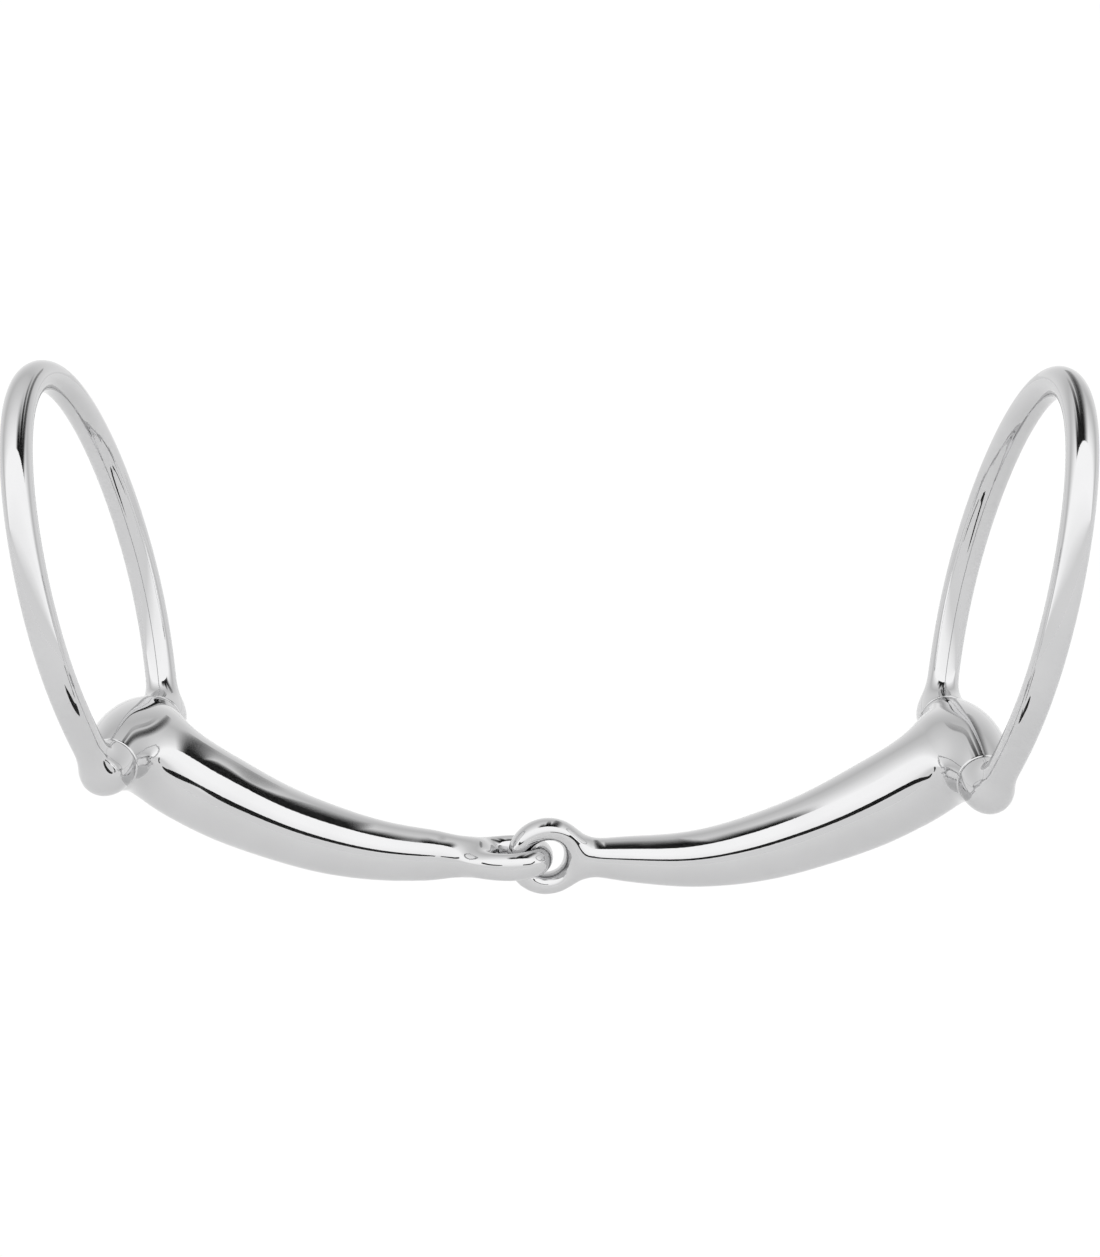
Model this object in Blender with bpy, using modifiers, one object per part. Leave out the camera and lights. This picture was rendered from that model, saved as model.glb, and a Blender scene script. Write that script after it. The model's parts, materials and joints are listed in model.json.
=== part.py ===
"""A single-jointed eggbutt snaffle bit in polished stainless steel.

Two curved cannons are linked by a pair of interlocked eyes. The outer end of each cannon is an
olive-shaped barrel, and an oval ring turns on a pivot pin through that barrel.

Frame: the origin is the centre of the right cannon's eye, where the mouthpiece folds. +X runs along
the mouthpiece to the right, +Y along the barrels to the back, and +Z up to the rings. Metres.
"""
import math

import bmesh
import bpy
import numpy as np
from mathutils import Matrix, Vector
from mathutils.geometry import interpolate_bezier

# Barrels, pivot pins and the running gaps between them
BARREL_HALF = 0.01285
BARREL_END_R = 0.00445
BARREL_MID_R = 0.0069
SEAM_HALF = 0.0130
GAP = 0.0003
PIN_R = 0.0020
PIN_HALF = 0.0162

# Oval rings: half the outline, as distances along the barrel and away from it
WIRE_R = 0.00275
RING_FOOT = (0.0172, 0.0)
RING_FOOT_HANDLE = (0.0209, 0.00665)
RING_SIDE = (0.0253, 0.0269)
RING_SIDE_LOW_HANDLE = 0.0118
RING_SIDE_HIGH_HANDLE = 0.0183
RING_TOP_HANDLE = 0.01535
COLLAR_DOME = 0.0073

# Cannons: the axis runs in and down from the barrel, through the belly, to the eye
AXIS_BARREL_SLOPE = math.radians(34.6)
AXIS_BARREL_HANDLE = 0.0164
AXIS_BELLY = (0.0474, 0.0169)
AXIS_BELLY_HANDLES = (0.0161, 0.0050)
AXIS_EYE_SLOPE = math.radians(3.6)
AXIS_EYE_HANDLE = 0.0055
CANNON_RADII = ((0.000, 0.0066), (0.008, 0.0074), (0.016, 0.0072),
                (0.034, 0.0058), (0.052, 0.0044), (0.060, 0.0036))
NECK_END_R = 0.0030

# Interlocked eyes: a ring of oval section at the inner end of each cannon
EYE_MEAN_R = 0.0050
EYE_RIM_HALF = 0.0018
EYE_DEPTH_HALF = 0.0022

# How each half stands: the centre of its eye, its size from barrel to eye, and its angles in degrees
HALVES = {
    "left": {"side": -1, "eye": (-0.00575, -0.0008, 0.0), "reach": 0.0655, "drop": 0.0159,
             "yaw": -10.4, "roll": -3.1, "pitch": 0.0, "lean": -14.0, "ring_top": 0.0641,
             "eye_lies_flat": True},
    "right": {"side": 1, "eye": (0.0, 0.0, 0.0), "reach": 0.0710, "drop": 0.01495,
              "yaw": 7.6, "roll": 3.1, "pitch": -0.7, "lean": 13.05, "ring_top": 0.065,
              "eye_lies_flat": False},
}

STEEL = {"base": (0.76, 0.76, 0.77), "roughness": 0.06}
PIN_STEEL = {"base": (0.62, 0.62, 0.63), "roughness": 0.25}
TURNED_STEPS = 24
WIRE_BEVEL_RESOLUTION = 4
CANNON_BEVEL_RESOLUTION = 6
Y_FROM_Z = Matrix.Rotation(math.radians(-90), 4, "X")


def clear_scene():
    for obj in list(bpy.data.objects):
        bpy.data.objects.remove(obj, do_unlink=True)


def new_collection(name):
    collection = bpy.data.collections.new(name)
    bpy.context.scene.collection.children.link(collection)
    return collection


def steel(name, base, roughness):
    material = bpy.data.materials.new(name)
    material.use_nodes = True
    shader = material.node_tree.nodes["Principled BSDF"]
    shader.inputs["Base Color"].default_value = (*base, 1.0)
    shader.inputs["Metallic"].default_value = 1.0
    shader.inputs["Roughness"].default_value = roughness
    material.diffuse_color = (*base, 1.0)
    return material


def add_object(name, data, collection, matrix):
    obj = bpy.data.objects.new(name, data)
    collection.objects.link(obj)
    obj.matrix_world = matrix
    return obj


def mark_as_cutter(obj):
    obj.hide_render = True
    obj.display_type = "WIRE"


def combine(target, other, operation):
    """Joins the other shape to the target, or cuts it away."""
    modifier = target.modifiers.new(operation.title(), "BOOLEAN")
    modifier.operation = operation
    modifier.object = other
    mark_as_cutter(other)


def finish(obj, look):
    obj.data.materials.clear()
    obj.data.materials.append(steel(obj.name, **look))
    obj.data.shade_smooth()
    obj.data.set_sharp_from_angle(angle=math.radians(40))


def curve_to_mesh(curve_object, collection):
    """Replaces a curve with its mesh, with the caps welded on."""
    bpy.context.view_layer.update()
    evaluated = curve_object.evaluated_get(bpy.context.evaluated_depsgraph_get())
    mesh = bpy.data.meshes.new_from_object(evaluated)
    welded = bmesh.new()
    welded.from_mesh(mesh)
    bmesh.ops.remove_doubles(welded, verts=welded.verts, dist=1e-6)
    welded.to_mesh(mesh)
    welded.free()
    matrix = curve_object.matrix_world.copy()
    name = curve_object.name
    bpy.data.objects.remove(curve_object, do_unlink=True)
    return add_object(name, mesh, collection, matrix)


def turned(name, profile, collection, matrix):
    """A solid turned about the barrel's axis from (distance along it, radius), back to front."""
    mesh = bpy.data.meshes.new(name)
    points = [(radius, 0.0, along) for along, radius in profile]
    mesh.from_pydata(points, [(i, i + 1) for i in range(len(points) - 1)], [])
    obj = add_object(name, mesh, collection, matrix @ Y_FROM_Z)
    screw = obj.modifiers.new("Turn", "SCREW")
    screw.steps = TURNED_STEPS
    screw.render_steps = TURNED_STEPS
    screw.use_merge_vertices = True
    screw.merge_threshold = 1e-6
    return obj


def cylinder(name, radius, low, high, collection, matrix):
    """A round bar along the barrel's axis, from low to high."""
    mesh = bpy.data.meshes.new(name)
    bar = bmesh.new()
    bmesh.ops.create_cone(bar, cap_ends=True, segments=TURNED_STEPS,
                          radius1=radius, radius2=radius, depth=high - low)
    bmesh.ops.translate(bar, verts=bar.verts, vec=(0, 0, (low + high) / 2))
    bar.to_mesh(mesh)
    bar.free()
    return add_object(name, mesh, collection, matrix @ Y_FROM_Z)


def barrel_frame(half):
    """The place of a half's barrel, found from where its eye has to be."""
    turn = (Matrix.Rotation(math.radians(half["yaw"]), 4, "Z")
            @ Matrix.Rotation(math.radians(half["roll"]), 4, "X")
            @ Matrix.Rotation(math.radians(half["pitch"]), 4, "Y"))
    eye_in_barrel_frame = Vector((-half["side"] * half["reach"], 0, -half["drop"]))
    return Matrix.Translation(half["eye"]) @ turn @ Matrix.Translation(-eye_in_barrel_frame)


def axis_points(half):
    """The cannon's axis in the barrel's frame, from just inside the barrel to the rim of the eye."""
    belly = Vector((AXIS_BELLY[0], 0, -AXIS_BELLY[1]))
    eye = Vector((half["reach"], 0, -half["drop"]))
    leave = Vector((math.cos(AXIS_BARREL_SLOPE), 0, -math.sin(AXIS_BARREL_SLOPE)))
    arrive = Vector((math.cos(AXIS_EYE_SLOPE), 0, math.sin(AXIS_EYE_SLOPE)))
    outer = interpolate_bezier(Vector(), leave * AXIS_BARREL_HANDLE,
                               belly - Vector((AXIS_BELLY_HANDLES[0], 0, 0)), belly, 16)
    inner = interpolate_bezier(belly, belly + Vector((AXIS_BELLY_HANDLES[1], 0, 0)),
                               eye - arrive * AXIS_EYE_HANDLE, eye, 9)
    path = [p for p in outer + inner[1:] if (p - eye).length > EYE_MEAN_R + EYE_RIM_HALF / 2]
    path.append(eye - arrive * EYE_MEAN_R)
    return path


def cannon_radius(distance):
    stations, radii = zip(*CANNON_RADII)
    return float(np.interp(distance, stations, radii))


def cannon_bar(name, half, collection, frame):
    """The tapering bar, swept along its axis."""
    curve = bpy.data.curves.new(name, "CURVE")
    curve.dimensions = "3D"
    curve.bevel_depth = 1.0
    curve.bevel_resolution = CANNON_BEVEL_RESOLUTION
    curve.use_fill_caps = True
    path = axis_points(half)
    spline = curve.splines.new("POLY")
    spline.points.add(len(path) - 1)
    for point, place in zip(spline.points, path):
        point.co = (-half["side"] * place.x, 0, place.z, 1)
        point.radius = cannon_radius(place.x)
    spline.points[-1].radius = NECK_END_R
    return curve_to_mesh(add_object(name, curve, collection, frame), collection)


def eye_ring(name, half, collection, frame):
    """The eye: a ring of oval section, upright on one cannon and lying flat on the other."""
    if half["eye_lies_flat"]:
        turn = Matrix.Rotation(half["side"] * AXIS_EYE_SLOPE, 4, "Y")
    else:
        turn = Y_FROM_Z
    bpy.ops.mesh.primitive_torus_add(major_radius=EYE_MEAN_R, minor_radius=EYE_RIM_HALF,
                                     major_segments=28, minor_segments=12)
    obj = bpy.context.object
    obj.name = name
    obj.data.transform(Matrix.Diagonal((1, 1, EYE_DEPTH_HALF / EYE_RIM_HALF, 1)))
    for owner in list(obj.users_collection):
        owner.objects.unlink(obj)
    collection.objects.link(obj)
    obj.matrix_world = Matrix.Translation(half["eye"]) @ frame.to_3x3().to_4x4() @ turn
    return obj


def olive_profile():
    """The barrel swells from its flat ends to its middle."""
    stations = np.linspace(BARREL_HALF, -BARREL_HALF, 11)
    swell = BARREL_MID_R - (BARREL_MID_R - BARREL_END_R) * (stations / BARREL_HALF) ** 2
    return [(BARREL_HALF, 0.0), *zip(stations, swell), (-BARREL_HALF, 0.0)]


def collar_profile():
    """A collar that meets the barrel's flat end and closes in a dome."""
    face = SEAM_HALF + GAP / 2
    angles = [math.radians(90 - 15 * i) for i in range(7)]
    dome = [(face + COLLAR_DOME * math.sin(a), BARREL_END_R * math.cos(a)) for a in angles]
    return [*dome, (face, 0.0)]


def make_cannon(name, half, parts, cutters, frame):
    cannon = cannon_bar(name, half, parts, frame)
    combine(cannon, turned(name + "_olive", olive_profile(), cutters, frame), "UNION")
    combine(cannon, eye_ring(name + "_eye", half, cutters, frame), "UNION")
    bore = cylinder(name + "_bore", PIN_R + GAP, -BARREL_HALF - GAP, BARREL_HALF + GAP, cutters, frame)
    combine(cannon, bore, "DIFFERENCE")
    finish(cannon, STEEL)


def ring_outline(ring_top):
    """Knots of the wire's axis, as (knot, handle before, handle after), foot to foot."""
    low = RING_SIDE[1] - RING_SIDE_LOW_HANDLE
    high = RING_SIDE[1] + RING_SIDE_HIGH_HANDLE
    foot, foot_handle = Vector((0, *RING_FOOT)), Vector((0, *RING_FOOT_HANDLE))
    one_side = [
        (foot, 2 * foot - foot_handle, foot_handle),
        (Vector((0, *RING_SIDE)), Vector((0, RING_SIDE[0], low)), Vector((0, RING_SIDE[0], high))),
    ]
    top = (Vector((0, 0, ring_top)), Vector((0, RING_TOP_HANDLE, ring_top)),
           Vector((0, -RING_TOP_HANDLE, ring_top)))
    flip = Matrix.Diagonal((1, -1, 1))
    other_side = [tuple(flip @ v for v in (knot, after, before))
                  for knot, before, after in reversed(one_side)]
    return one_side + [top] + other_side


def ring_wire(name, ring_top, collection, frame):
    curve = bpy.data.curves.new(name, "CURVE")
    curve.dimensions = "3D"
    curve.resolution_u = 12
    curve.bevel_depth = WIRE_R
    curve.bevel_resolution = WIRE_BEVEL_RESOLUTION
    curve.use_fill_caps = True
    knots = ring_outline(ring_top)
    spline = curve.splines.new("BEZIER")
    spline.bezier_points.add(len(knots) - 1)
    for point, (knot, before, after) in zip(spline.bezier_points, knots):
        point.handle_left_type = point.handle_right_type = "FREE"
        point.co, point.handle_left, point.handle_right = knot, before, after
    return curve_to_mesh(add_object(name, curve, collection, frame), collection)


def make_ring(name, ring_top, parts, cutters, frame):
    ring = ring_wire(name, ring_top, parts, frame)
    turn_round = Matrix.Rotation(math.pi, 4, "X")
    for end, matrix in (("back", frame), ("front", frame @ turn_round)):
        combine(ring, turned(f"{name}_{end}_collar", collar_profile(), cutters, matrix), "UNION")
    socket = cylinder(name + "_sockets", PIN_R + GAP, -PIN_HALF - GAP, PIN_HALF + GAP, cutters, frame)
    combine(ring, socket, "DIFFERENCE")
    finish(ring, STEEL)


def make_pin(name, parts, frame):
    finish(cylinder(name, PIN_R, -PIN_HALF, PIN_HALF, parts, frame), PIN_STEEL)


def main():
    clear_scene()
    parts = new_collection("snaffle_bit")
    cutters = new_collection("cutters")
    for name, half in HALVES.items():
        frame = barrel_frame(half)
        ring_frame = frame @ Matrix.Rotation(math.radians(half["lean"]), 4, "Y")
        make_cannon(f"{name}_cannon", half, parts, cutters, frame)
        make_ring(f"{name}_ring", half["ring_top"], parts, cutters, ring_frame)
        make_pin(f"{name}_pivot_pin", parts, ring_frame)


main()
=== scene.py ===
"""The looks of the single-jointed eggbutt snaffle bit: mirror-polished steel in a white studio.

Each cannon and each ring is a smooth solid, given as a field that is negative inside the steel and
meshed where it is zero. A half is worked out in its own frame in millimetres: u runs in from the
barrel to the joint, v back along the barrel, and w up. The barrels, eyes and pivots are where the
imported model's joints are.
"""
import json
import math

import bpy
import numpy as np
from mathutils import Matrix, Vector

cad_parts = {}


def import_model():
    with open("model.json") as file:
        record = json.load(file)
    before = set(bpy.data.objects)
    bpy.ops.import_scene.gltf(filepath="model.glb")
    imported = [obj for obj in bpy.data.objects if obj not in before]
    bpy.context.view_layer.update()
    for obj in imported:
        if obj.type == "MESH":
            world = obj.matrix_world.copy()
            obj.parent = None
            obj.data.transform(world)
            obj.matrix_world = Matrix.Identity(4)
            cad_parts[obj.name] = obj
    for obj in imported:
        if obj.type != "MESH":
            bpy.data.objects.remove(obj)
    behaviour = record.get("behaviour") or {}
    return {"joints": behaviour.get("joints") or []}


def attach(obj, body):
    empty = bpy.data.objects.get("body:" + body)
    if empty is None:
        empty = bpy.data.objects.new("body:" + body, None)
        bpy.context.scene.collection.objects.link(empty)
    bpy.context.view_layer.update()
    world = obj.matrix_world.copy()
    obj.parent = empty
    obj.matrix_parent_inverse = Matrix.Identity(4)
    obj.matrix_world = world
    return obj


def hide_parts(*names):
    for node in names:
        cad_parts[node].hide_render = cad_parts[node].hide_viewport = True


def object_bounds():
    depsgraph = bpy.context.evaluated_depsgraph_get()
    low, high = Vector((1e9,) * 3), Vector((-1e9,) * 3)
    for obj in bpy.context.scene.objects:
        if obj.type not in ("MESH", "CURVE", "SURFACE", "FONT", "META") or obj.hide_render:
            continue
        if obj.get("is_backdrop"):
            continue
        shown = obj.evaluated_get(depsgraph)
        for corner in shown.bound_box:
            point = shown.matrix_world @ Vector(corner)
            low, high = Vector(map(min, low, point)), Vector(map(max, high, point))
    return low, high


MM = 0.001

# Barrels, and the running gap at each of their ends
BARREL_HALF = 12.85
BARREL_END_R = 4.45
BARREL_MID_R = 6.9
COLLAR_FACE = 13.15
GAP_MIDDLE = (BARREL_HALF + COLLAR_FACE) / 2
EDGE_ROUNDING = 0.45
BORE_R = 2.3
BORE_ROUNDING = 0.3
SOCKET_END = 16.5

# Cannons: the axis as Bezier segments in (u, drop), radii along it, and the fillet with the barrel, which
# grows from tight behind the barrel to full in front of it
AXIS_LEAVES = math.radians(34.6)
AXIS_BARREL_HANDLE = 16.4
AXIS_BELLY_AT = 47.4
AXIS_BELLY_HANDLES = (16.1, 5.0)
AXIS_ARRIVES = math.radians(3.6)
AXIS_EYE_HANDLE = 5.5
CANNON_START = 3.5
CANNON_STATIONS = (0.0, 8.0, 16.0, 25.0, 34.0, 43.0, 52.0, 60.0, 66.0)
CANNON_RADII = (6.5, 7.4, 7.15, 6.35, 5.8, 5.0, 4.25, 3.65, 3.5)
TIP_TAPERS_OVER = (16.0, 3.5)
BARREL_FILLET = (3.0, 9.0)
FILLET_GROWS_OVER = (-2.0, 8.0)

# Eyes: a ring of oval section at the end of each cannon
EYE_MEAN_R = 4.95
EYE_RIM_HALF = 1.8
EYE_DEPTH_HALF = 2.3
EYE_STRETCH = 1.4

# Rings: half the wire's outline in (v, w), with the barrel's centre as origin
WIRE_R = 2.67
RING_FOOT = (17.2, 0.0)
RING_FOOT_HANDLE = (20.9, 6.65)
RING_SIDE = (25.3, 26.9)
RING_SIDE_HANDLES = (15.1, 45.2)
RING_MIDDLE = 32.0
RING_TOP_HANDLE = 15.35
COLLAR_DOME = 7.3
COLLAR_FILLET = 4.5

# How each half stands, beyond what its joints say. The drop is the cannon's fall to its eye, the belly is
# its fall at its lowest, and the lean is the ring's, outward and in degrees
HALVES = {
    "left": {
        "eye_from_fold": (-5.75, -0.8, 0.0), "drop": 15.9, "belly": 16.45, "ring_top": 64.1, "lean": 14.0,
        "eye_lies_flat": True, "stops_short": 6.5, "tip_taper": 1.0, "eye_fillet": 4.0,
    },
    "right": {
        "eye_from_fold": (0.0, 0.0, 0.0), "drop": 14.95, "belly": 17.2, "ring_top": 64.96, "lean": 13.05,
        "eye_lies_flat": False, "stops_short": 7.4, "tip_taper": 0.5, "eye_fillet": 4.5,
    },
}

# Curves: how far their kinks are rounded off, and the spacing of their tables
CURVE_SOFTENING = 2.0
TABLE_STEP = 0.1

# Fields: how many steps the search for a curve's nearest point takes, and what divisors may not go below
CANNON_SEARCH_STEPS = 5
RING_SEARCH_STEPS = 6
LEAST_STRETCH = 0.3
LEAST_STEEPNESS = 1e-3
LEAST_SLOPE = 0.1

# Meshing: cells are finer near the running gap, and then each point moves part of the way to the middle of
# its neighbours. A room is the box a solid is looked for in, from the barrel's centre, except that the
# cannon's last u is counted from the eye and the ring's last w from its top
CELL = 0.3
FINE_CELL = 0.08
CELL_GROWTH = 0.3
CELL_CORNERS = [(i, j, k) for i in (0, 1) for j in (0, 1) for k in (0, 1)]
SLOPE_STEP = 0.01
EVENING = 0.6
EVENING_ROUNDS = 2
CANNON_ROOM = ((-8.1, -13.8, -26.0), (8.1, 13.8, 8.1))
RING_ROOM = ((-5.3, -29.2, -5.6), (5.3, 29.2, 3.9))

# The view: distances in millimetres from the fold joint
CAMERA_TARGET = (0.47, 0.67, 39.9)
CAMERA_ELEVATION = math.radians(18.08)
CAMERA_DISTANCE = 524.8
CAMERA_LENS = 91.67

# Steel: how fine each grain is, what it does to the shade and the roughness, and its relief in metres
BLACK = (0, 0, 0, 1)
STEEL_COLOUR = (0.635, 0.635, 0.64, 1)
CLOUD_SCALE = 90
CLOUD_SHADES = (0.97, 1.0)
CLOUD_HAZE = (0.02, 0.04)
BUFFING_SCALE = 900
BUFFING_HAZE = (0.0, 0.02)
BUFFING_RELIEF = 0.003
WAVE_SCALE = 55
WAVE_HEIGHT = 0.0006
PIN_COLOURS = ((0.42, 0.41, 0.4, 1), (0.56, 0.55, 0.54, 1))
PIN_PATCH_SCALE = 400
PIN_PATCH_HAZE = (0.22, 0.38)
PIN_RING_SCALE = 1200
PIN_RING_HAZE = 0.08
PIN_RING_HEIGHT = 0.00002

# The studio: its brightness against the angle, from in front (0) over the top (90) to behind (180)
STUDIO_LEVELS = {-180: 0.9, -90: 0.95, -30: 1.0, 0: 0.98, 11: 0.97, 26: 1.32, 45: 1.42, 70: 1.42,
                 85: 1.2, 110: 0.9, 135: 0.72, 155: 0.86, 180: 0.92}
BACKDROP_LEVEL = 1.02
DARK = 0.01
FLOOR_SIZE = 4.0
FLOOR_BELOW = 0.09
FLOOR_COLOUR = 0.88

# A dark card hung over the bit, in metres. Its two ends clear over the stretches given. At places across
# it, CARD_FADES_AT is how far back the middle of its fade is, and CARD_FADE_HALF is half the fade's width
CARD_HEIGHT = 0.25
CARD_FRONT = -0.066
CARD_CLEARS_LEFT = (-0.085, -0.035)
CARD_CLEARS_RIGHT = (0.1, 0.2)
CARD_SIZE = (1.0, 0.5)
CARD_FADES_AT = {-0.06: 0.07, -0.02: 0.1, 0.0: 0.08, 0.016: 0.2, 0.042: 0.2, 0.055: 0.1, 0.2: 0.1}
CARD_FADE_HALF = {-0.06: 0.06, -0.02: 0.07, 0.0: 0.07, 0.016: 0.12, 0.042: 0.12, 0.055: 0.05, 0.2: 0.04}

# Two dark cords strung ahead of the cannons: places along each and its radius there, in millimetres
CORD_AHEAD = -30.0
CORDS = (
    ((-57.5, 25.0, 3.4), (-59.5, 21.5, 4.2), (-51.0, 18.2, 4.2), (-44.0, 15.0, 3.2), (-35.0, 12.2, 2.6),
     (-27.0, 11.1, 2.1), (-21.0, 10.8, 1.2)),
    ((9.0, 10.5, 1.6), (17.0, 10.5, 2.1), (25.0, 10.3, 2.4), (33.0, 12.0, 2.6), (41.0, 15.5, 3.0),
     (48.0, 19.8, 3.6), (56.0, 24.8, 3.2)),
)


# ---------------------------------------------------------------- curves

def bezier(points, count):
    """Points on one cubic Bezier segment."""
    a, b, c, d = (np.array(p, float) for p in points)
    t = np.linspace(0, 1, count)[:, None]
    return a * (1 - t)**3 + 3 * b * t * (1 - t)**2 + 3 * c * t**2 * (1 - t) + d * t**3


def smoothstep(low, high, x):
    """Eases from 0 to 1 while x goes from low to high."""
    t = np.clip((x - low) / (high - low), 0, 1)
    return t * t * t * (t * (6 * t - 15) + 10)


def softened(values):
    """Rounds off the kinks in a table's values, keeping straight ends straight."""
    reach = int(4 * CURVE_SOFTENING / TABLE_STEP)
    ramp = np.arange(1, reach + 1)
    before = values[0] - (values[1] - values[0]) * ramp[::-1]
    after = values[-1] + (values[-1] - values[-2]) * ramp
    weights = np.exp(-0.5 * (np.arange(-reach, reach + 1) * TABLE_STEP / CURVE_SOFTENING)**2)
    return np.convolve(np.concatenate([before, values, after]), weights / weights.sum(), "valid")


def cannon_axis(reach, half):
    """Tables of the cannon's drop, its slope and bend, and its radius, against u."""
    drop = half["drop"]
    belly = (AXIS_BELLY_AT, half["belly"])
    leave = (math.cos(AXIS_LEAVES) * AXIS_BARREL_HANDLE, math.sin(AXIS_LEAVES) * AXIS_BARREL_HANDLE)
    arrive = (reach - math.cos(AXIS_ARRIVES) * AXIS_EYE_HANDLE,
              drop + math.sin(AXIS_ARRIVES) * AXIS_EYE_HANDLE)
    belly_before = (AXIS_BELLY_AT - AXIS_BELLY_HANDLES[0], half["belly"])
    belly_after = (AXIS_BELLY_AT + AXIS_BELLY_HANDLES[1], half["belly"])
    path = np.concatenate([bezier([(0, 0), leave, belly_before, belly], 200),
                           bezier([belly, belly_after, arrive, (reach, drop)], 100)[1:]])
    u = np.arange(0, reach + TABLE_STEP, TABLE_STEP)
    drops = softened(np.interp(u, path[:, 0], path[:, 1]))
    slopes = np.gradient(drops, TABLE_STEP)
    radii = softened(np.interp(u, CANNON_STATIONS, CANNON_RADII))
    far, near = TIP_TAPERS_OVER
    radii -= half["tip_taper"] * smoothstep(reach - far, reach - near, u)
    bends = np.gradient(slopes, TABLE_STEP)
    return {"u": u, "drop": drops, "slope": slopes, "bend": bends, "radius": radii}


def ring_wire(ring_top):
    """Tables of the wire's axis against the length along it, from the back foot over to the front."""
    side_low, side_high = ((RING_SIDE[0], w) for w in RING_SIDE_HANDLES)
    top, top_handle = (0.0, ring_top), (RING_TOP_HANDLE, ring_top)
    back = np.concatenate([bezier([RING_FOOT, RING_FOOT_HANDLE, side_low, RING_SIDE], 200),
                           bezier([RING_SIDE, side_high, top_handle, top], 200)[1:]])
    path = np.concatenate([back, back[-2::-1] * (-1, 1)])
    lengths = np.concatenate([[0], np.cumsum(np.linalg.norm(np.diff(path, axis=0), axis=1))])
    along = np.arange(0, lengths[-1], TABLE_STEP)
    points = np.stack([softened(np.interp(along, lengths, path[:, i])) for i in (0, 1)], axis=1)
    tangents = np.gradient(points, TABLE_STEP, axis=0)
    tangents /= np.linalg.norm(tangents, axis=1)[:, None]
    return {"along": along, "points": points, "tangents": tangents,
            "bends": np.gradient(tangents, TABLE_STEP, axis=0),
            "angles": np.unwrap(np.arctan2(points[:, 1] - RING_MIDDLE, points[:, 0]))}


# ---------------------------------------------------------------- fields

def merge(a, b, fillet):
    """The union of two solids, with a fillet where they meet."""
    closeness = np.maximum(fillet - np.abs(a - b), 0) / fillet
    return np.minimum(a, b) - fillet * closeness**3 / 6


def overlap(a, b, rounding):
    """What two solids share, with a rounded edge where they meet."""
    return -merge(-a, -b, rounding)


def oval(a, b, half_a, half_b):
    """Roughly the distance from an ellipse, negative inside it."""
    scaled = np.hypot(a / half_a, b / half_b)
    steepness = np.hypot(a / half_a**2, b / half_b**2)
    return scaled * (scaled - 1) / np.maximum(steepness, LEAST_STEEPNESS)


def cannon_bar(p, axis, end):
    """The tapering round bar about the cannon's axis."""
    u, v, w = p
    s = u.copy()
    for _ in range(CANNON_SEARCH_STEPS):
        s = np.clip(s, CANNON_START, end)
        drop, slope, bend = (np.interp(s, axis["u"], axis[k]) for k in ("drop", "slope", "bend"))
        stretch = np.maximum(1 + slope**2 + (w + drop) * bend, LEAST_STRETCH)
        s -= (s - u + (w + drop) * slope) / stretch
    s = np.clip(s, CANNON_START, end)
    drop = np.interp(s, axis["u"], axis["drop"])
    return np.sqrt((u - s)**2 + v**2 + (w + drop)**2) - np.interp(s, axis["u"], axis["radius"])


def olive(p):
    """The barrel, swelling from its flat ends to its middle."""
    u, v, w = p
    swell = BARREL_MID_R - (BARREL_MID_R - BARREL_END_R) * (v / BARREL_HALF)**2
    return overlap(np.hypot(u, w) - swell, np.abs(v) - BARREL_HALF, EDGE_ROUNDING)


def eye_ring(p, centre, lies_flat):
    """The eye: upright and round, or lying flat and drawn out towards the cannon."""
    u, v, w = p
    along, up = u - centre[0], w - centre[1]
    if lies_flat:
        c, s = math.cos(AXIS_ARRIVES), math.sin(AXIS_ARRIVES)
        along, up = along * c + up * s, up * c - along * s
        along = np.where(along < 0, along / EYE_STRETCH, along)
        across, depth = v, up
    else:
        across, depth = up, v
    return oval(np.hypot(along, across) - EYE_MEAN_R, depth, EYE_RIM_HALF, EYE_DEPTH_HALF)


def cannon_field(reach, half):
    """The field of a whole cannon: bar, bored barrel and eye."""
    axis = cannon_axis(reach, half)
    tight, full = BARREL_FILLET

    def field(p):
        u, v, w = p
        fillet = tight + (full - tight) * smoothstep(*FILLET_GROWS_OVER, u)
        body = merge(cannon_bar(p, axis, reach - half["stops_short"]), olive(p), fillet)
        body = overlap(body, BORE_R - np.hypot(u, w), BORE_ROUNDING)
        return merge(body, eye_ring(p, (reach, -half["drop"]), half["eye_lies_flat"]), half["eye_fillet"])

    return field


def collar(p):
    """The end of a ring that turns against the barrel's flat end."""
    u, v, w = p
    reach = np.abs(v) - COLLAR_FACE
    dome = oval(np.hypot(u, w), np.maximum(reach, 0), BARREL_END_R, COLLAR_DOME)
    return overlap(dome, -reach, EDGE_ROUNDING)


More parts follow.
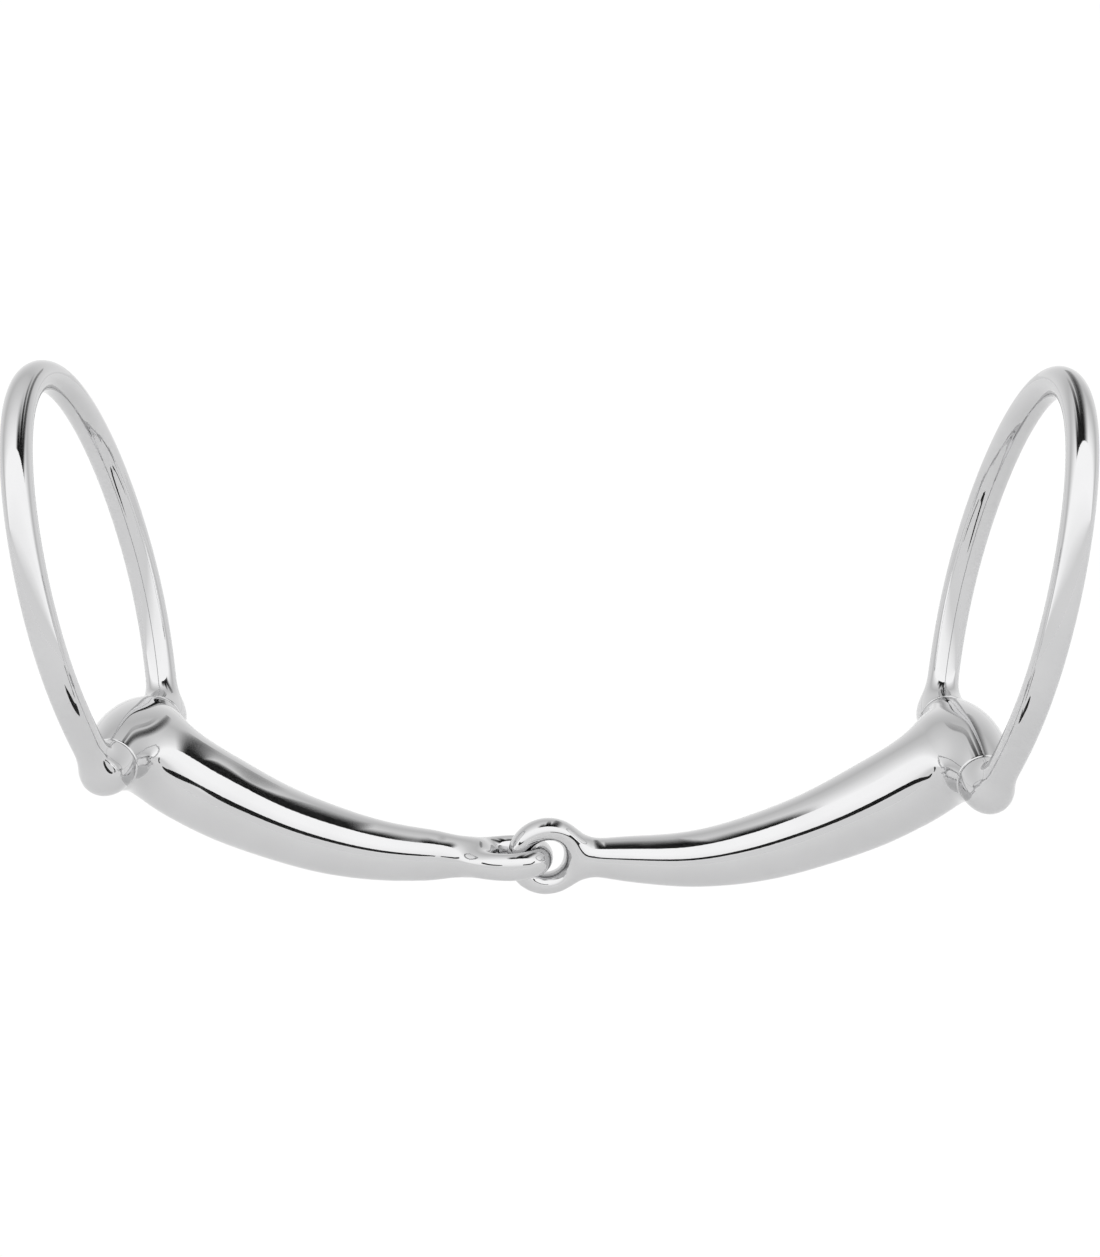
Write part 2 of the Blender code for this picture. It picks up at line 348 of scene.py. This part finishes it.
def ring_field(ring_top):
    """The field of a whole ring: wire and two socketed collars."""
    wire = ring_wire(ring_top)
    along = wire["along"]

    def on_wire(name, s):
        return (np.interp(s, along, wire[name][:, i]) for i in (0, 1))

    def field(p):
        u, v, w = p
        angle = np.arctan2(w - RING_MIDDLE, v)
        angle = np.where(angle < -math.pi / 2, angle + 2 * math.pi, angle)
        s = np.interp(angle, wire["angles"], along)
        for _ in range(RING_SEARCH_STEPS):
            (cv, cw), (tv, tw), (bv, bw) = (on_wire(k, s) for k in ("points", "tangents", "bends"))
            miss = (v - cv) * tv + (w - cw) * tw
            stretch = np.maximum(1 - (v - cv) * bv - (w - cw) * bw, LEAST_STRETCH)
            s = np.clip(s + miss / stretch, 0, along[-1])
        cv, cw = on_wire("points", s)
        bar = np.sqrt(u**2 + (v - cv)**2 + (w - cw)**2) - WIRE_R
        solid = merge(bar, collar(p), COLLAR_FILLET)
        beside_barrel = np.maximum(np.hypot(u, w) - BARREL_MID_R, np.abs(v) - COLLAR_FACE)
        solid = overlap(solid, -beside_barrel, EDGE_ROUNDING)
        socket = np.maximum(np.hypot(u, w) - BORE_R, np.abs(v) - SOCKET_END)
        return np.maximum(solid, -socket)

    return field


# ---------------------------------------------------------------- meshing

def gradient(field, points):
    """The way in which the field rises fastest, at each point."""
    parts = []
    for i in range(3):
        ahead, behind = points.copy(), points.copy()
        ahead[i] += SLOPE_STEP
        behind[i] -= SLOPE_STEP
        parts.append((field(ahead) - field(behind)) / (2 * SLOPE_STEP))
    return np.stack(parts)


def settle(field, points, rounds):
    """Moves points on to the solid's surface."""
    for _ in range(rounds):
        slope = gradient(field, points)
        points = points - field(points) * slope / np.maximum((slope**2).sum(0), LEAST_SLOPE)
    return points


def grid_line(low, high, gap_at):
    """Grid places along one axis, closer together beside a running gap if there is one."""
    places = [low]
    while places[-1] < high:
        step = CELL
        if gap_at is not None:
            step = np.clip(CELL_GROWTH * abs(abs(places[-1]) - gap_at), FINE_CELL, CELL)
        places.append(places[-1] + step)
    return np.array(places)


def cell_points(values, cells, lines):
    """One point for each cell: the middle of where the surface cuts the cell's edges."""
    total = np.zeros((len(cells), 3))
    hits = np.zeros(len(cells))
    for corner in CELL_CORNERS:
        for axis in range(3):
            if corner[axis]:
                continue
            edge_end = cells + corner
            start = values[tuple(edge_end.T)]
            edge_end[:, axis] += 1
            end = values[tuple(edge_end.T)]
            changes = (start < 0) != (end < 0)
            share = np.where(changes, start / np.where(changes, start - end, 1), 0)
            place = np.repeat(np.array(corner, float)[None], len(cells), axis=0)
            place[:, axis] += share
            total[changes] += place[changes]
            hits += changes
    steps = (cells + total / hits[:, None]).T
    return np.stack([np.interp(row, np.arange(len(line)), line) for row, line in zip(steps, lines)])


def cell_faces(inside, number):
    """A face round each grid edge that the surface cuts, joining the points of the edge's four cells."""
    faces = []
    for axis in range(3):
        first = [slice(1, n - 1) for n in inside.shape]
        first[axis] = slice(0, inside.shape[axis] - 1)
        second = list(first)
        second[axis] = slice(1, inside.shape[axis])
        starts = inside[tuple(first)]
        changes = np.argwhere(starts != inside[tuple(second)])
        outward = starts[tuple(changes.T)]
        base = changes + [s.start for s in first]
        step_a = np.roll([0, 1, 0], axis)
        step_b = np.roll([0, 0, 1], axis)
        around = (base, base - step_a, base - step_a - step_b, base - step_b)
        loop = np.stack([number[tuple(cell.T)] for cell in around], axis=1)
        loop[~outward] = loop[~outward][:, ::-1]
        faces.append(loop)
    return np.concatenate(faces)


def surface(field, low, high):
    """The solid's surface as points and four-sided faces, one point to each grid cell it crosses."""
    gaps = (None, GAP_MIDDLE, None)
    lines = [grid_line(*ends) for ends in zip(low, high, gaps)]
    counts = [len(line) for line in lines]
    values = np.empty(counts)
    v_plane, w_plane = np.meshgrid(lines[1], lines[2], indexing="ij")
    for i, u in enumerate(lines[0]):
        values[i] = field(np.stack([np.full(v_plane.shape, u), v_plane, w_plane]))
    inside = values < 0

    filled = np.zeros([n - 1 for n in counts], np.int8)
    for corner in CELL_CORNERS:
        filled += inside[tuple(slice(c, n - 1 + c) for c, n in zip(corner, counts))]
    crossed = (filled > 0) & (filled < len(CELL_CORNERS))
    cells = np.argwhere(crossed)
    number = np.full(crossed.shape, -1)
    number[crossed] = np.arange(len(cells))
    return cell_points(values, cells, lines), cell_faces(inside, number)


def relaxed(field, points, faces):
    """Evens out the spacing of a surface's points, keeping them on it."""
    starts = faces.ravel()
    ends = np.roll(faces, -1, axis=1).ravel()
    neighbours = np.bincount(starts, minlength=points.shape[1])
    for _ in range(EVENING_ROUNDS):
        mean = np.stack([np.bincount(starts, weights=row[ends], minlength=points.shape[1])
                         for row in points]) / neighbours
        points = settle(field, points + EVENING * (mean - points), 1)
    return settle(field, points, EVENING_ROUNDS)


def linked(name, data):
    """A new object, put in the scene."""
    obj = bpy.data.objects.new(name, data)
    bpy.context.scene.collection.objects.link(obj)
    return obj


def solid_piece(name, field, low, high, place):
    """A mesh object of a solid, with its normals taken from the field."""
    points, faces = surface(field, low, high)
    points = relaxed(field, points, faces)
    normals = gradient(field, points)
    normals /= np.linalg.norm(normals, axis=0)
    origin, axes = place
    if np.linalg.det(axes) < 0:
        faces = faces[:, ::-1]
    mesh = bpy.data.meshes.new(name)
    mesh.from_pydata(list(map(tuple, origin + (points.T @ axes) * MM)), [], faces.tolist())
    mesh.shade_smooth()
    mesh.normals_split_custom_set_from_vertices(list(map(tuple, normals.T @ axes)))
    return linked(name, mesh)


# ---------------------------------------------------------------- places

def half_place(pivot, hinge_axis, eye, drop):
    """The half's origin, its axes as rows, and its reach along u from the barrel to the eye."""
    v = hinge_axis if hinge_axis[1] > 0 else -hinge_axis
    line = (eye - pivot) / MM
    length = np.linalg.norm(line)
    towards = line / length
    above = np.cross(towards, v)
    above *= np.sign(above[2])
    tilt = math.asin(drop / length)
    u = math.cos(tilt) * towards + math.sin(tilt) * above
    w = math.cos(tilt) * above - math.sin(tilt) * towards
    return (pivot, np.stack([u, v, w])), length * math.cos(tilt)


def leaned(place, degrees):
    """A ring's place: the half's, turned outward about the barrel."""
    origin, (u, v, w) = place
    c, s = math.cos(math.radians(degrees)), math.sin(math.radians(degrees))
    return origin, np.stack([c * u + s * w, v, c * w - s * u])


# ---------------------------------------------------------------- materials

def new_material(name):
    """A material, its node tree and its shader."""
    material = bpy.data.materials.new(name)
    material.use_nodes = True
    tree = material.node_tree
    return material, tree, tree.nodes["Principled BSDF"]


def graph(tree):
    """Two shorthands for wiring a node tree: each adds a node and gives back its output."""

    def feed(socket, value):
        if isinstance(value, bpy.types.NodeSocket):
            tree.links.new(value, socket)
        else:
            socket.default_value = value

    def calculate(operation, *values):
        node = tree.nodes.new("ShaderNodeMath")
        node.operation = operation
        for socket, value in zip(node.inputs, values):
            feed(socket, value)
        return node.outputs[0]

    def remap(value, low, high, to_low, to_high):
        """Eases from one value to another while the input goes from low to high."""
        node = tree.nodes.new("ShaderNodeMapRange")
        node.interpolation_type = "SMOOTHSTEP"
        for name, item in (("Value", value), ("From Min", low), ("From Max", high),
                           ("To Min", to_low), ("To Max", to_high)):
            feed(node.inputs[name], item)
        return node.outputs["Result"]

    return calculate, remap


def noise(tree, position, scale, detail, squeeze=(1, 1, 1)):
    """Noise between 0 and 1, with its grain squeezed along each axis."""
    mapping = tree.nodes.new("ShaderNodeMapping")
    mapping.inputs["Scale"].default_value = squeeze
    tree.links.new(position, mapping.inputs["Vector"])
    node = tree.nodes.new("ShaderNodeTexNoise")
    node.inputs["Scale"].default_value = scale
    node.inputs["Detail"].default_value = detail
    tree.links.new(mapping.outputs[0], node.inputs["Vector"])
    return node.outputs["Fac"]


def blended(tree, share, first, second):
    """A colour that goes from the first to the second as the share goes from 0 to 1."""
    mix = tree.nodes.new("ShaderNodeMix")
    mix.data_type = "RGBA"
    tree.links.new(share, mix.inputs[0])
    mix.inputs[6].default_value = first
    mix.inputs[7].default_value = second
    return mix.outputs[2]


def bumped(tree, shader, height, distance, strength):
    """Gives a shader's surface a fine relief."""
    bump = tree.nodes.new("ShaderNodeBump")
    bump.inputs["Distance"].default_value = distance
    bump.inputs["Strength"].default_value = strength
    tree.links.new(height, bump.inputs["Height"])
    tree.links.new(bump.outputs[0], shader.inputs["Normal"])


def polished_steel():
    """Mirror-polished steel: faint clouding, fine buffing lines and the hand polisher's slight waves."""
    material, tree, shader = new_material("polished_steel")
    calculate, remap = graph(tree)
    position = tree.nodes.new("ShaderNodeTexCoord").outputs["Object"]
    clouds = noise(tree, position, CLOUD_SCALE, 3)
    buffing = noise(tree, position, BUFFING_SCALE, 2, (1, 6, 1))
    waves = noise(tree, position, WAVE_SCALE, 0)
    colour = blended(tree, remap(clouds, 0.3, 0.7, *CLOUD_SHADES), BLACK, STEEL_COLOUR)
    tree.links.new(colour, shader.inputs["Base Color"])
    shader.inputs["Metallic"].default_value = 1
    haze = calculate("ADD", remap(clouds, 0.3, 0.75, *CLOUD_HAZE),
                     remap(buffing, 0.35, 0.7, *BUFFING_HAZE))
    tree.links.new(haze, shader.inputs["Roughness"])
    relief = calculate("ADD", waves, calculate("MULTIPLY", buffing, BUFFING_RELIEF))
    bumped(tree, shader, relief, WAVE_HEIGHT, 1.0)
    return material


def turned_steel():
    """A pin's drawn and lightly oiled steel: turning rings along it and duller patches."""
    material, tree, shader = new_material("pin_steel")
    calculate, remap = graph(tree)
    position = tree.nodes.new("ShaderNodeTexCoord").outputs["Object"]
    rings = tree.nodes.new("ShaderNodeTexWave")
    rings.bands_direction = "Y"
    rings.inputs["Scale"].default_value = PIN_RING_SCALE
    rings.inputs["Distortion"].default_value = 0.6
    tree.links.new(position, rings.inputs["Vector"])
    patches = noise(tree, position, PIN_PATCH_SCALE, 4)
    colour = blended(tree, remap(patches, 0.35, 0.7, 0.0, 1.0), *PIN_COLOURS)
    tree.links.new(colour, shader.inputs["Base Color"])
    shader.inputs["Metallic"].default_value = 1
    haze = calculate("ADD", remap(patches, 0.3, 0.7, *PIN_PATCH_HAZE),
                     calculate("MULTIPLY", rings.outputs["Fac"], PIN_RING_HAZE))
    tree.links.new(haze, shader.inputs["Roughness"])
    bumped(tree, shader, rings.outputs["Fac"], PIN_RING_HEIGHT, 0.6)
    return material


# ---------------------------------------------------------------- studio

def level_ramp(tree, levels, value):
    """Levels blended between the places they are given at."""
    calculate, _ = graph(tree)
    low, high = min(levels), max(levels)
    ramp = tree.nodes.new("ShaderNodeValToRGB")
    stops = ramp.color_ramp.elements
    for place in sorted(levels):
        stop = stops.new((place - low) / (high - low))
        stop.color = (levels[place], levels[place], levels[place], 1)
    stops.remove(stops[0])
    stops.remove(stops[-1])
    share = calculate("DIVIDE", calculate("SUBTRACT", value, low), high - low)
    tree.links.new(share, ramp.inputs[0])
    return ramp.outputs["Color"]


def build_world():
    """A white studio, evenly bright from side to side."""
    world = bpy.data.worlds.new("studio")
    bpy.context.scene.world = world
    world.use_nodes = True
    tree = world.node_tree
    calculate, _ = graph(tree)
    split = tree.nodes.new("ShaderNodeSeparateXYZ")
    tree.links.new(tree.nodes.new("ShaderNodeTexCoord").outputs["Generated"], split.inputs[0])
    _, y, z = split.outputs
    angle = calculate("DEGREES", calculate("ARCTAN2", z, calculate("MULTIPLY", y, -1.0)))
    level = level_ramp(tree, STUDIO_LEVELS, angle)
    seen = tree.nodes.new("ShaderNodeLightPath").outputs["Is Camera Ray"]
    background = tree.nodes["Background"]
    background.inputs["Color"].default_value = (1, 1, 1, 1)
    tree.links.new(calculate("MAXIMUM", calculate("MULTIPLY", seen, BACKDROP_LEVEL), level),
                   background.inputs["Strength"])


def staged(obj, name, material):
    """Makes an object part of the studio: the bit reflects it, but the camera does not see it."""
    obj.name = name
    obj.visible_camera = False
    obj.data.materials.append(material)
    obj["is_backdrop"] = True


def plain_material(name, grey):
    """An even, dull grey."""
    material, _, shader = new_material(name)
    shader.inputs["Base Color"].default_value = (grey, grey, grey, 1)
    shader.inputs["Roughness"].default_value = 0.9
    return material


def fading_card_material():
    """Black, clearing towards the card's ends and its back."""
    material, tree, black = new_material("dark_card")
    calculate, remap = graph(tree)
    split = tree.nodes.new("ShaderNodeSeparateXYZ")
    tree.links.new(tree.nodes.new("ShaderNodeTexCoord").outputs["Object"], split.inputs[0])
    x, y, _ = split.outputs
    middle = level_ramp(tree, CARD_FADES_AT, x)
    half = level_ramp(tree, CARD_FADE_HALF, x)
    behind = remap(y, calculate("SUBTRACT", middle, half), calculate("ADD", middle, half), 1.0, 0.0)
    across = calculate("MULTIPLY", remap(x, *CARD_CLEARS_LEFT, 0.0, 1.0),
                       remap(x, *CARD_CLEARS_RIGHT, 1.0, 0.0))
    mix = tree.nodes.new("ShaderNodeMixShader")
    tree.links.new(calculate("MULTIPLY", behind, across), mix.inputs[0])
    tree.links.new(tree.nodes.new("ShaderNodeBsdfTransparent").outputs[0], mix.inputs[1])
    black.inputs["Base Color"].default_value = (DARK, DARK, DARK, 1)
    black.inputs["Roughness"].default_value = 1.0
    tree.links.new(black.outputs[0], mix.inputs[2])
    tree.links.new(mix.outputs[0], tree.nodes["Material Output"].inputs["Surface"])
    return material


def build_cord(places, fold):
    """One cord, as a curve that thickens and thins along its length."""
    curve = bpy.data.curves.new("cord", "CURVE")
    curve.dimensions = "3D"
    curve.bevel_depth = MM
    curve.use_fill_caps = True
    spline = curve.splines.new("NURBS")
    spline.points.add(len(places) - 1)
    for point, (x, z, radius) in zip(spline.points, places):
        point.co = (x * MM, CORD_AHEAD * MM, z * MM, 1)
        point.radius = radius
    spline.use_endpoint_u = True
    cord = linked("cord", curve)
    cord.location = Vector(fold)
    return cord


def build_studio(fold):
    """The white surround, the pale floor, the card and the cords."""
    build_world()
    bpy.ops.mesh.primitive_grid_add(x_subdivisions=8, y_subdivisions=8, size=FLOOR_SIZE,
                                    location=(0, 0, fold[2] - FLOOR_BELOW))
    staged(bpy.context.object, "floor", plain_material("pale_floor", FLOOR_COLOUR))

    width, depth = CARD_SIZE
    mesh = bpy.data.meshes.new("card")
    corners = [(-width / 2, 0, 0), (width / 2, 0, 0), (width / 2, depth, 0), (-width / 2, depth, 0)]
    mesh.from_pydata(corners, [], [(0, 1, 2, 3)])
    card = linked("card", mesh)
    card.location = Vector(fold) + Vector((0, CARD_FRONT, CARD_HEIGHT))
    staged(card, "dark_card", fading_card_material())

    black = plain_material("dark_cord", DARK)
    for number, places in enumerate(CORDS):
        staged(build_cord(places, fold), f"dark_cord_{number}", black)


def place_camera(fold):
    """A camera in front of the bit, looking down on it."""
    data = bpy.data.cameras.new("camera")
    data.lens = CAMERA_LENS
    camera = linked("camera", data)
    back = Vector((0, -math.cos(CAMERA_ELEVATION), math.sin(CAMERA_ELEVATION)))
    camera.location = Vector(fold) + (Vector(CAMERA_TARGET) + back * CAMERA_DISTANCE) * MM
    camera.rotation_euler = (math.pi / 2 - CAMERA_ELEVATION, 0, 0)
    bpy.context.scene.camera = camera


def build_half(name, half, pivot, hinge_axis, fold, steel):
    """One cannon and its ring, riding on their bodies in place of the plain solids."""
    eye = fold + np.array(half["eye_from_fold"]) * MM
    place, reach = half_place(pivot, hinge_axis, eye, half["drop"])
    low, (u, v, w) = CANNON_ROOM
    cannon = solid_piece(f"{name}_cannon_steel", cannon_field(reach, half), low, (reach + u, v, w), place)
    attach(cannon, f"{name}_cannon")
    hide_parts(f"{name}_cannon")

    ring_top = half["ring_top"]
    low, (u, v, w) = RING_ROOM
    ring = solid_piece(f"{name}_ring_steel", ring_field(ring_top), low, (u, v, ring_top + w),
                       leaned(place, half["lean"]))
    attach(ring, f"{name}_ring")
    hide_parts(f"{name}_ring")

    for piece in (cannon, ring):
        piece.data.materials.append(steel)


def main():
    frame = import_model()
    cad_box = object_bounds()
    joints = {joint["name"]: joint for joint in frame["joints"]}
    fold = np.array(joints["mouthpiece_fold"]["pos_m"], float)
    steel, pin_steel = polished_steel(), turned_steel()
    for name, half in HALVES.items():
        pin = bpy.data.objects[f"{name}_pivot_pin"]
        pin.data.materials.clear()
        pin.data.materials.append(pin_steel)
        joint = joints[f"{name}_ring_swing"]
        pivot = np.array(joint["pos_m"], float)
        axis = np.array(joint["axis"], float)
        build_half(name, half, pivot, axis / np.linalg.norm(axis), fold, steel)
    build_studio(fold)
    place_camera(fold)
    bpy.context.scene.view_settings.view_transform = "Standard"
    boxes = {"cad": cad_box, "visual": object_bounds()}
    {k: [list(corner) for corner in box] for k, box in boxes.items()}


main()
